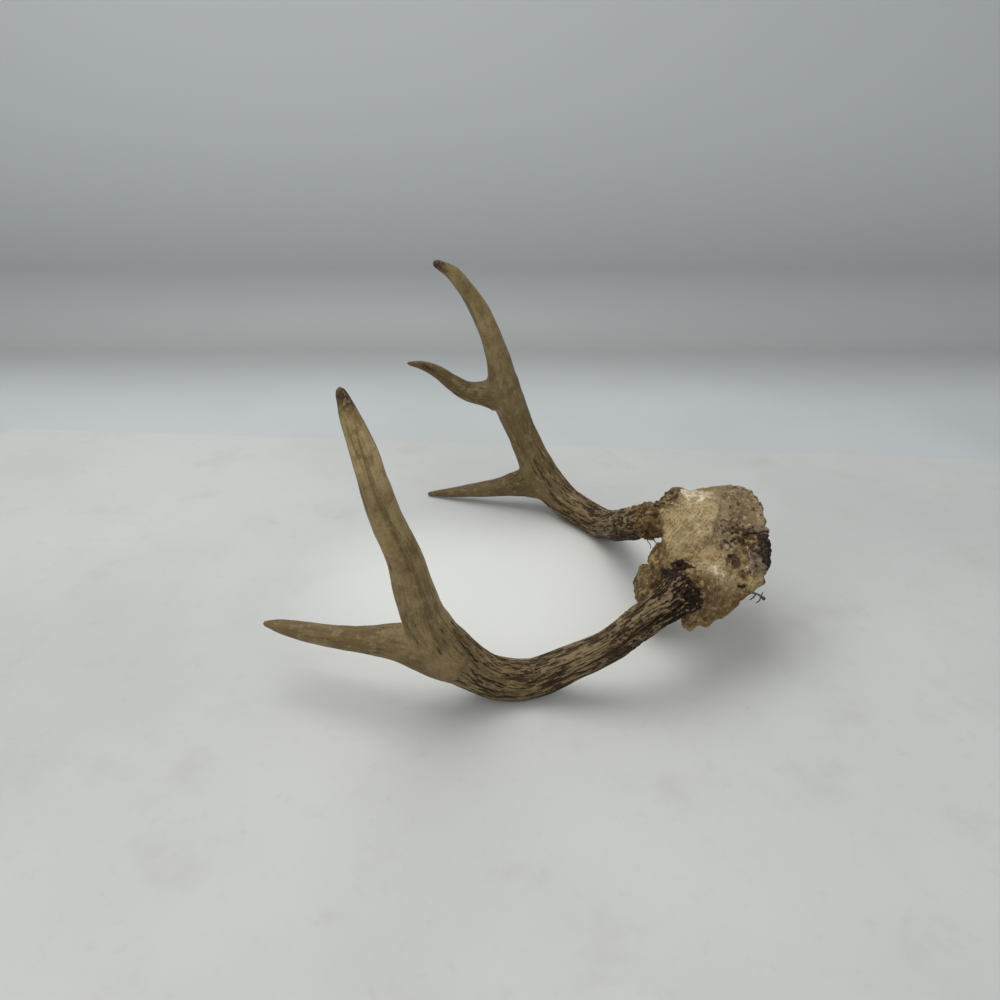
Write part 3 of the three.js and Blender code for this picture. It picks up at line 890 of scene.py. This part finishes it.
# A stiff branched twig, from its root at the near front corner of the plate
TWIG_ROOT = (43.5, -43)
TWIG_SINK = 0.4
TWIG = [
    [[0, 0, 0, 1.1], [3.5, -0.8, -1.2, 0.8], [7, -1.5, -1.6, 0.6], [10, -2, -3.2, 0.8],
     [12.4, -2, -5.2, 1.3]],
    [[7, -1.5, -1.6, 0.5], [5.5, -1.8, -4.2, 0.5], [3.6, -2, -6.0, 0.35]],
    [[10, -2, -3.2, 0.5], [9.4, -2.6, -6.0, 0.45], [7.6, -2.8, -7.8, 0.35]],
    [[10, -2, -3.2, 0.4], [11.0, -1.5, -0.6, 0.3]],
]
# Threads under the left burr, in the row frame
THREADS = [
    [[87, -22, 60, 0.5], [87.6, -23, 57.4, 0.32], [89.2, -24, 55.6, 0.28], [89.6, -25, 52.6, 0.25]],
    [[91, -24, 60, 0.5], [92.6, -25.5, 58.0, 0.3], [95.2, -27, 58.6, 0.28], [97.5, -28, 57.2, 0.25]],
]


def build_sinew(name, strands, start):
    shift = np.array([*start, 0.0])
    tubes = [Branch(np.array(strand) + shift, per=8).tube(8) for strand in strands]
    piece = make_mesh(name, *joined(tubes))
    shade_smooth(piece)
    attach(piece, "root")
    return piece


twig = build_sinew("sinew_twig", TWIG, forehead(*np.array(TWIG_ROOT)) - (0, 0, TWIG_SINK))
threads = build_sinew("sinew_threads", THREADS, (0, 0, 0))


# -------------------- materials

# Colours of antler in linear light. Pairs run from a darker to a lighter blotch
TAN = ((0.150, 0.098, 0.040), (0.230, 0.161, 0.077))
PALE = ((0.165, 0.110, 0.043), (0.250, 0.179, 0.079))
TIP_PALE = ((0.290, 0.203, 0.080), (0.440, 0.320, 0.150))
TINE_BROWN = (0.110, 0.072, 0.026)
SHADE_BROWN = (0.105, 0.070, 0.030)
MOTTLE_BROWN = (0.120, 0.080, 0.034)
MOTTLE_PALE = (0.370, 0.280, 0.150)
HAIR_BROWN = (0.085, 0.052, 0.022)
HAIR_PALE = (0.36, 0.275, 0.150)
SPECK_BROWN = (0.090, 0.056, 0.025)
TIP_BROWN = (0.13, 0.078, 0.032)
WORN_BROWN = (0.055, 0.032, 0.014)
GROOVE_DARK = ((0.008, 0.005, 0.002), (0.068, 0.036, 0.015))
VEIN_PALE = (0.33, 0.245, 0.140)
BURR_RUST = ((0.070, 0.038, 0.014), (0.29, 0.180, 0.070))
BURR_CRUST = ((0.005, 0.0025, 0.001), (0.060, 0.026, 0.010))

# Colours of bone
BONE = ((0.272, 0.188, 0.075), (0.430, 0.318, 0.144))
OCHRE = (0.420, 0.265, 0.095)
STROKE_BROWN = (0.135, 0.088, 0.036)
STROKE_PALE = (0.56, 0.44, 0.26)
STAIN_BROWN = (0.125, 0.067, 0.019)
CHALK = (0.90, 0.77, 0.55)
MAUVE = (0.200, 0.148, 0.100)
FLECK_BROWN = (0.100, 0.060, 0.026)
FLECK_PALE = (0.62, 0.48, 0.27)
POCK_DARK = (0.055, 0.028, 0.011)
CHARRED = ((0.006, 0.004, 0.002), (0.090, 0.062, 0.032))
BONE_CRUST = ((0.006, 0.003, 0.001), (0.075, 0.034, 0.013))
PIT_DARK = (0.030, 0.016, 0.008)

SINEW_BROWN = ((0.035, 0.022, 0.014), (0.16, 0.11, 0.075))


class Nodes:
    """Short names for the node kinds that the materials use."""

    def __init__(self, name):
        self.material = bpy.data.materials.new(name)
        self.material.use_nodes = True
        self.tree = self.material.node_tree
        self.shader = self.tree.nodes["Principled BSDF"]
        self.position = self.new("TexCoord").outputs["Object"]

    def join(self, source, target):
        """Links a socket, or sets a number or a colour."""
        if isinstance(source, (int, float)):
            target.default_value = source
        elif isinstance(source, tuple):
            target.default_value = (*source, 1) if len(target.default_value) == 4 else source
        else:
            self.tree.links.new(source, target)

    def new(self, kind, **inputs):
        """New node with its inputs set or joined. An underscore stands for the space in an input's name."""
        node = self.tree.nodes.new("ShaderNode" + kind)
        for name, source in inputs.items():
            self.join(source, node.inputs[name.replace("_", " ")])
        return node

    def colour(self, source):
        self.join(source, self.shader.inputs["Base Color"])

    def roughness(self, source):
        self.join(source, self.shader.inputs["Roughness"])

    def gloss(self, level):
        self.shader.inputs["Specular IOR Level"].default_value = level

    def attribute(self, name):
        node = self.new("Attribute")
        node.attribute_name = name
        return node.outputs

    def value(self, name):
        return self.attribute(name)["Fac"]

    def axes(self):
        return self.new("SeparateXYZ", Vector=self.position).outputs

    def noise(self, scale, detail=3.0, roughness=0.55, at=None, bend=0.0):
        node = self.new("TexNoise", Vector=at or self.position, Scale=scale, Detail=detail,
                        Roughness=roughness, Distortion=bend)
        return node.outputs["Fac"]

    def flow_noise(self, scale, detail, bend):
        """Streaks that run along the antler."""
        stretch = self.new("VectorMath")
        stretch.operation = "MULTIPLY"
        self.join(self.attribute("flow")["Vector"], stretch.inputs[0])
        self.join(scale, stretch.inputs[1])
        return self.noise(1, detail, 0.6, stretch.outputs["Vector"], bend)

    def ramp(self, source, low, high):
        """0 where the source is at low, rising smoothly to 1 where it is at high."""
        node = self.new("MapRange", Value=source, From_Min=low, From_Max=high)
        node.interpolation_type = "SMOOTHSTEP"
        return node.outputs["Result"]

    def math(self, kind, a, b):
        node = self.new("Math")
        node.operation = kind
        self.join(a, node.inputs[0])
        self.join(b, node.inputs[1])
        return node.outputs[0]

    def plus(self, a, b):
        return self.math("ADD", a, b)

    def minus(self, a, b):
        return self.math("SUBTRACT", a, b)

    def times(self, a, b):
        return self.math("MULTIPLY", a, b)

    def swing(self, source, strength, middle=0.5):
        """How far the source is from its middle, times the strength."""
        return self.times(self.minus(source, middle), strength)

    def mix(self, share, a, b):
        node = self.new("Mix")
        node.data_type = "RGBA"
        self.join(share, node.inputs["Factor"])
        self.join(a, node.inputs[6])
        self.join(b, node.inputs[7])
        return node.outputs[2]

    def pair(self, source, low, high, colours):
        """The first colour where the source is at low, the second where it is at high."""
        return self.mix(self.ramp(source, low, high), *colours)

    def tints(self, base, *layers):
        """Colours laid over the base one after another, each with its mask and its strength."""
        for colour, where, strength in layers:
            base = self.mix(self.times(where, strength), base, colour)
        return base

    def bump(self, height, strength, distance):
        node = self.new("Bump", Height=height, Strength=strength, Distance=distance)
        self.join(node.outputs["Normal"], self.shader.inputs["Normal"])


def toned(colours, factor):
    """Each channel times the factor."""
    return tuple(tuple(factor * channel for channel in colour) for colour in colours)


def horn(name, tan_tone, pale_tone, tip_tone, streak_rate):
    """Antler: tan to pale ground, dark streaks, rust and crust at the burr, worn dark points."""
    m = Nodes(name)
    along = m.value("along")
    pure = m.value("pure")
    blotch = m.noise(45, 4)
    mottle = m.noise(150, 4, 0.6)
    speck = m.noise(650, 3, 0.7)
    fine = m.noise(2100, 2, 0.6)
    long = m.flow_noise((0.60, 0.60, streak_rate), 5, 0.6)
    soft = m.flow_noise((0.20, 0.20, 0.011), 3, 0.8)
    hair = m.flow_noise((1.35, 1.35, 2.3 * streak_rate), 3, 0.3)
    upper = m.ramp(along, 150, 260)
    plain = m.minus(1.0, m.times(upper, 0.75))

    # Ground
    tan = m.pair(blotch, 0.36, 0.64, toned(TAN, tan_tone))
    pale = m.pair(blotch, 0.38, 0.62, toned(PALE, pale_tone))
    light = m.pair(blotch, 0.38, 0.62, toned(TIP_PALE, tip_tone))
    base = m.mix(m.ramp(along, 120, 220), tan, pale)
    base = m.mix(m.ramp(along, 285, 340), base, light)
    base = m.tints(
        base,
        (TINE_BROWN, m.value("tine"), 0.48),
        (SHADE_BROWN, m.ramp(soft, 0.50, 0.66), m.times(pure, 0.7)),
        (MOTTLE_BROWN, m.ramp(mottle, 0.54, 0.66), 0.45),
        (MOTTLE_PALE, m.ramp(mottle, 0.46, 0.36), 0.4),
        (HAIR_BROWN, m.times(m.ramp(hair, 0.50, 0.64), m.times(pure, 0.6)), plain),
        (HAIR_PALE, m.ramp(hair, 0.46, 0.32), m.times(pure, 0.35)),
        (SPECK_BROWN, m.ramp(speck, 0.52, 0.68), 0.4),
        (TIP_BROWN, m.value("tip"), 0.4),
        (WORN_BROWN, m.value("worn"), m.ramp(speck, 0.30, 0.52)),
    )

    # Dark streaks, with the pale net left out; the dense value brings extra ones on the side away from the
    # light, as painted shade
    cut = m.times(m.swing(long, 3.6), pure)
    cut = m.plus(cut, m.minus(m.value("dense"), 0.29))
    cut = m.plus(cut, m.swing(m.value("groove"), 0.55, middle=0.25))
    cut = m.plus(cut, m.times(m.swing(speck, 1.1), plain))
    cut = m.plus(cut, m.times(m.times(m.swing(hair, 2.6), pure), plain))
    cut = m.minus(cut, m.times(m.value("veins"), 1.5))
    streaks = m.times(m.ramp(cut, 0.05, 0.21), m.minus(1.0, m.times(upper, 0.45)))
    colour = m.mix(streaks, base, m.pair(speck, 0.34, 0.64, GROOVE_DARK))
    colour = m.tints(colour, (VEIN_PALE, m.value("veins"), 0.8))

    # Rust and crust at the burr; the crust reaches further on the side away from the light, as painted
    # shade
    rusty = m.plus(m.value("rust"), m.swing(blotch, 1.2))
    colour = m.mix(m.ramp(rusty, 0.3, 0.7), colour, m.pair(speck, 0.4, 0.62, BURR_RUST))
    crusted = m.plus(m.value("grime"), m.swing(speck, 0.9))
    crusted = m.ramp(m.plus(crusted, m.swing(long, 2.0)), 0.40, 0.56)
    colour = m.mix(crusted, colour, m.pair(speck, 0.42, 0.66, BURR_CRUST))

    m.colour(colour)
    rough = m.plus(m.times(streaks, 0.25), m.plus(0.34, m.times(speck, 0.25)))
    m.roughness(m.plus(rough, m.times(crusted, 0.2)))
    height = m.plus(m.times(speck, 0.6), m.times(fine, 0.3))
    height = m.minus(height, m.times(m.times(m.times(hair, pure), plain), 0.9))
    m.bump(m.minus(height, m.times(streaks, 0.6)), 0.6, 0.0006)
    m.gloss(0.22)
    return m.material


def bone(name):
    """Dry bone: brushed ochre ground with chalky, brown, charred and pitted places."""
    m = Nodes(name)
    blotch = m.noise(75, 5, 0.6)
    patch = m.noise(190, 4, 0.65)
    pock = m.noise(340, 3, 0.6)
    speck = m.noise(620, 4, 0.7)
    streak = m.value("streak")
    pocked = m.plus(m.times(m.plus(pock, patch), 0.5), m.swing(m.value("porous"), 0.16, middle=0.6))
    base = m.tints(
        m.pair(blotch, 0.38, 0.62, BONE),
        (OCHRE, m.value("ochre"), m.ramp(patch, 0.42, 0.54)),
        (STROKE_BROWN, m.ramp(streak, 0.05, 0.5), 0.36),
        (STROKE_PALE, m.ramp(streak, -0.1, -0.7), 0.5),
        (STAIN_BROWN, m.value("brown"), m.ramp(patch, 0.35, 0.55)),
        (CHALK, m.value("white"), m.ramp(patch, 0.38, 0.56)),
        (MAUVE, m.value("mauve"), 0.8),
        (FLECK_BROWN, m.ramp(speck, 0.5, 0.64), 0.65),
        (FLECK_PALE, m.ramp(speck, 0.44, 0.28), 0.5),
        (POCK_DARK, m.ramp(pocked, 0.50, 0.58), 0.85),
    )
    stained = m.plus(m.value("dark"), m.swing(patch, 1.3))
    base = m.mix(m.ramp(stained, 0.35, 0.65), base, m.pair(speck, 0.42, 0.66, CHARRED))
    crusted = m.plus(m.value("crust"), m.swing(patch, 1.2))
    base = m.mix(m.ramp(crusted, 0.35, 0.55), base, m.pair(speck, 0.42, 0.66, BONE_CRUST))
    m.colour(m.tints(base, (PIT_DARK, m.value("pits"), 0.9)))
    m.roughness(m.plus(0.5, m.times(speck, 0.35)))
    height = m.plus(m.times(speck, 0.8), m.times(patch, 0.8))
    m.bump(m.minus(height, m.ramp(pocked, 0.48, 0.60)), 0.8, 0.0011)
    m.gloss(0.25)
    return m.material


def sinew(name):
    m = Nodes(name)
    m.colour(m.pair(m.noise(900), 0.35, 0.65, SINEW_BROWN))
    m.roughness(0.6)
    m.bump(m.noise(1500), 0.5, 0.0004)
    return m.material


def dress(piece, material):
    piece.data.materials.append(material)


# The right antler's pale and tip tones run lighter than the left's: painted light on the near antler's
# upper parts, painted shade on the far one's
right_horn = horn("right antler horn", tan_tone=1.10, pale_tone=1.40, tip_tone=1.26, streak_rate=0.055)
left_horn = horn("left antler horn", tan_tone=1.16, pale_tone=0.92, tip_tone=0.86, streak_rate=0.036)
dried_sinew = sinew("dried sinew")
dress(right_antler, right_horn)
dress(left_antler, left_horn)
dress(skull, bone("skull bone"))
dress(twig, dried_sinew)
dress(threads, dried_sinew)


# -------------------- table and backdrop

# The pale sheet on the table: its corners, anticlockwise from above, and its thickness, in millimetres
SHEET_CORNERS = [(-900, -1200), (900, -1200), (900, 205), (-900, 345)]
SHEET_THICKNESS = 0.6

# Colours: two cloudy tones and the smudges, then what they run to: painted light in the table's middle,
# painted shade at the backdrop's foot and painted light higher up
SHEET_TONES = ((0.595, 0.595, 0.575), (0.665, 0.665, 0.64))
SHEET_SMUDGE = (0.515, 0.505, 0.475)
SHEET_PAINTED_LIGHT = (0.84, 0.84, 0.79)
BACKDROP_TONES = ((0.57, 0.59, 0.59), (0.62, 0.64, 0.64))
BACKDROP_SMUDGE = (0.59, 0.605, 0.605)
BACKDROP_FOOT_SHADE = (0.385, 0.40, 0.39)
BACKDROP_UPPER_LIGHT = (0.545, 0.565, 0.58)


def paper(name, tones, smudge_colour):
    """Matt card with faint smudges: its nodes, and the colour so far."""
    m = Nodes(name)
    smudge = m.noise(14, 6, 0.65)
    grain = m.noise(90, 4, 0.6)
    shade = m.tints(
        m.pair(m.noise(2.6, 4), 0.35, 0.65, tones),
        (smudge_colour, m.ramp(smudge, 0.52, 0.72), 0.35),
        (smudge_colour, m.ramp(grain, 0.56, 0.74), 0.22),
    )
    m.roughness(0.5)
    m.gloss(0.3)
    return m, shade


def sheet_paper():
    """Table with painted light, brightest inside the rack as in the photo."""
    m, shade = paper("pale table", SHEET_TONES, SHEET_SMUDGE)
    x, y, _ = m.axes()
    across = m.math("POWER", m.times(x, 5.5), 2.0)
    away = m.plus(across, m.math("POWER", m.times(y, 7.5), 2.0))
    # Painted light: the table grows lighter towards the middle of the rack
    m.colour(m.mix(m.ramp(away, 1.3, 0.0), shade, SHEET_PAINTED_LIGHT))
    return m.material


def backdrop_paper():
    """Backdrop with painted shade at its foot and painted light, bluish, above it."""
    m, shade = paper("grey backdrop", BACKDROP_TONES, BACKDROP_SMUDGE)
    _, y, z = m.axes()
    # Painted shade towards the backdrop's foot
    shade = m.mix(m.ramp(y, 0.38, 0.64), shade, BACKDROP_FOOT_SHADE)
    # Painted light, growing lighter higher up the wall
    m.colour(m.mix(m.ramp(z, -0.05, 0.36), shade, BACKDROP_UPPER_LIGHT))
    return m.material


def build_backdrop(half_width, front, back, top, bend, below, steps=24):
    """Floor that curves up into the wall behind it. Sizes in metres; below is its depth under the table."""
    profile = [(front, 0.0), (back - bend, 0.0)]
    for i in range(1, steps + 1):
        a = math.pi / 2 * i / steps
        profile.append((back - bend + bend * math.sin(a), bend - bend * math.cos(a)))
    profile.append((back, top))
    points = [(x, y, z - below) for y, z in profile for x in (-half_width, half_width)]
    faces = [(2 * i, 2 * i + 1, 2 * i + 3, 2 * i + 2) for i in range(len(profile) - 1)]
    piece = make_mesh("backdrop", np.array(points) / MM, faces)
    shade_smooth(piece)
    piece.data.materials.append(backdrop_paper())


def build_sheet():
    points = [(x, y, z) for z in (0, -SHEET_THICKNESS) for x, y in SHEET_CORNERS]
    faces = [(0, 1, 2, 3), (7, 6, 5, 4), (0, 4, 5, 1), (1, 5, 6, 2), (2, 6, 7, 3), (3, 7, 4, 0)]
    piece = make_mesh("sheet", points, faces)
    piece.data.materials.append(sheet_paper())


build_backdrop(half_width=4.5, front=-1.6, back=0.73, top=1.9, bend=0.10, below=0.0008)
build_sheet()


# -------------------- light and camera

# Places in metres, lens and sensor in mm; the camera has the photo's viewing angle
CAMERA_AT = (-0.016, -0.474, 0.330)
CAMERA_TILT = math.radians(62)
CAMERA_LENS = 27.04
CAMERA_SENSOR = 36
CAMERA_REACH = 50
ROOM_COLOUR = (0.94, 0.97, 1.0)
ROOM_STRENGTH = 0.50


def lamp(name, at, target, size, power):
    light = bpy.data.lights.new(name, "AREA")
    light.shape = "RECTANGLE"
    light.size, light.size_y = size
    light.energy = power
    piece = add_object(name, light)
    piece.location = at
    piece.rotation_euler = (Vector(target) - Vector(at)).to_track_quat("-Z", "Y").to_euler()


lamp("key", at=(-0.4, 0.18, 1.4), target=(0, 0, 0), size=(1.2, 1.0), power=10.6)
lamp("front fill", at=(0.1, -1.4, 1.3), target=(0, 0, 0.1), size=(1.6, 1.2), power=3.2)

world = bpy.data.worlds.new("soft room")
world.use_nodes = True
background = world.node_tree.nodes["Background"]
background.inputs["Color"].default_value = (*ROOM_COLOUR, 1)
background.inputs["Strength"].default_value = ROOM_STRENGTH
bpy.context.scene.world = world
bpy.context.scene.view_settings.view_transform = "Standard"

camera_data = bpy.data.cameras.new("camera")
camera_data.sensor_width = CAMERA_SENSOR
camera_data.lens = CAMERA_LENS
camera_data.clip_end = CAMERA_REACH
camera = add_object("camera", camera_data)
camera.location = CAMERA_AT
camera.rotation_euler = (CAMERA_TILT, 0, 0)
bpy.context.scene.camera = camera
